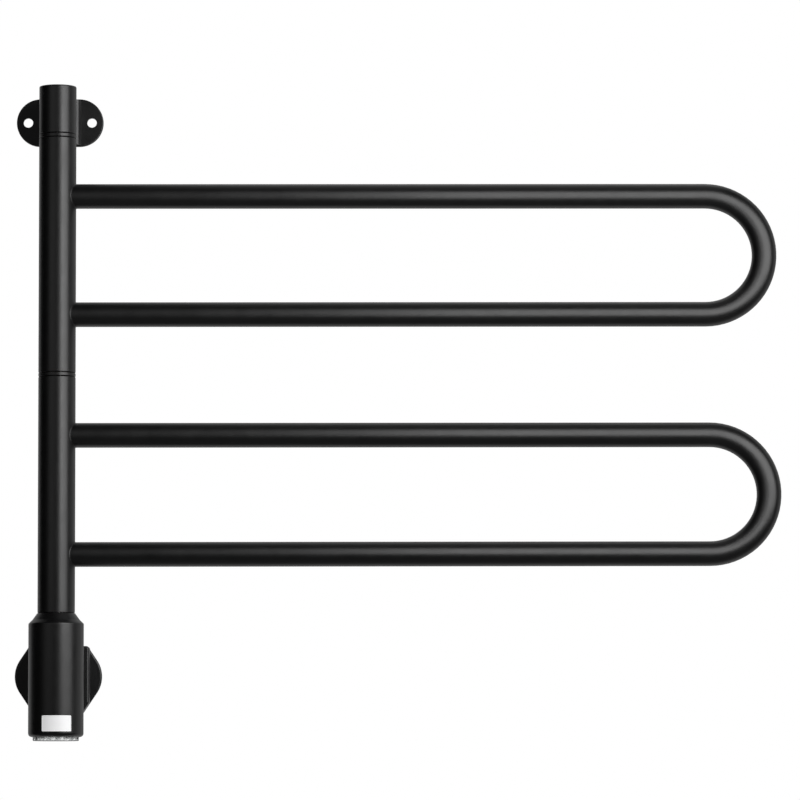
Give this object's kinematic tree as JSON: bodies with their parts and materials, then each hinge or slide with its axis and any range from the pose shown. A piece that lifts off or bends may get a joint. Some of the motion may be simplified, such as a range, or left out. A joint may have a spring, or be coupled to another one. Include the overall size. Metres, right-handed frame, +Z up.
{
  "type": "swivel towel holder",
  "caption": "Wall-hung heated towel holder in black: U-shaped tube arms swing on a slim column between an upper wall bracket and a round timer housing with a push button below.",
  "frame": {"origin": "on the wall, midway between the two screw holes of the upper bracket", "axes": "+X along the arms at rest, to the viewer's right; +Y into the wall; +Z up"},
  "size_m": [0.5893, 0.0595, 0.5034],
  "materials": {
    "black_coat": "satin black powder coat on steel",
    "bare_steel": "drawn steel",
    "zinc_steel": "bright zinc",
    "black_screw": "black oxide",
    "black_rubber": "matt",
    "clear_silicone": "translucent silicone",
    "heater_silicone": "silicone jacket",
    "lead_jacket": "grey cable jacket",
    "white_nylon": "natural nylon",
    "grey_nylon": "moulded nylon",
    "black_nylon": "moulded nylon",
    "badge_white": "satin white film",
    "board_green": "lacquered glass-fibre board",
    "capacitor_sleeve": "shrink sleeve",
    "light_lens": "tinted lens",
    "clear_acrylic": "clear moulded acrylic"
  },
  "bodies": {
    "wall_frame": {"upper_wall_bracket": "black_coat", "upper_bracket_bolt": "zinc_steel", "column_end_cap": "black_coat", "column_top_tube": "black_coat", "mast_top_plug": "bare_steel", "mast_tube": "bare_steel", "swing_stop_pins": "zinc_steel", "upper_spacer_ring": "black_coat", "middle_spacer_ring": "black_coat", "arm_supply_leads": "lead_jacket", "neck_collar": "black_coat", "housing_shell": "black_coat", "mast_foot": "bare_steel", "mast_grub_screw": "zinc_steel", "housing_screws": "zinc_steel", "connection_box": "black_coat", "lower_wall_plate": "black_coat", "box_lock_screw": "black_screw", "cable_grommet": "black_rubber", "cable_clamp_bar": "grey_nylon", "cable_clamp_screws": "zinc_steel", "mains_terminal_block": "white_nylon", "mains_leads": "lead_jacket", "badge_plate": "badge_white", "board_carrier_ring": "grey_nylon", "control_board": "board_green", "board_screws": "zinc_steel", "push_switch_body": "black_nylon", "indicator_lights": "light_lens", "timer_relay": "black_nylon", "board_capacitor": "capacitor_sleeve", "board_terminal_block": "white_nylon", "button_seal": "clear_silicone", "upper_lead_loop": "lead_jacket", "lower_lead_loop": "lead_jacket"},
    "upper_arm": {"upper_sleeve": "black_coat", "upper_arm_tube": "black_coat", "upper_arm_welds": "black_coat", "upper_sleeve_top_bush": "white_nylon", "upper_sleeve_bottom_bush": "white_nylon", "upper_friction_ring": "black_rubber", "upper_heating_cable": "heater_silicone"},
    "lower_arm": {"lower_sleeve": "black_coat", "lower_arm_tube": "black_coat", "lower_arm_welds": "black_coat", "lower_sleeve_top_bush": "white_nylon", "lower_sleeve_bottom_bush": "white_nylon", "lower_friction_ring": "black_rubber", "lower_heating_cable": "heater_silicone"},
    "button": {"timer_button": "clear_acrylic", "push_switch_plunger": "white_nylon"}
  },
  "joints": [
    {"name": "upper_arm_swivel", "type": "hinge", "parent": "wall_frame", "child": "upper_arm", "pos_m": [0, -0.038, -0.1076], "axis": [0, 0, -1], "range_deg": [0, 180]},
    {"name": "lower_arm_swivel", "type": "hinge", "parent": "wall_frame", "child": "lower_arm", "pos_m": [0, -0.038, -0.292], "axis": [0, 0, -1], "range_deg": [0, 180]},
    {"name": "button_press", "type": "slide", "parent": "wall_frame", "child": "button", "axis": [0, 0, 1], "range_m": [0, 0.0012], "stiffness_N_per_m": 800, "springref_m": -0.002}
  ]
}
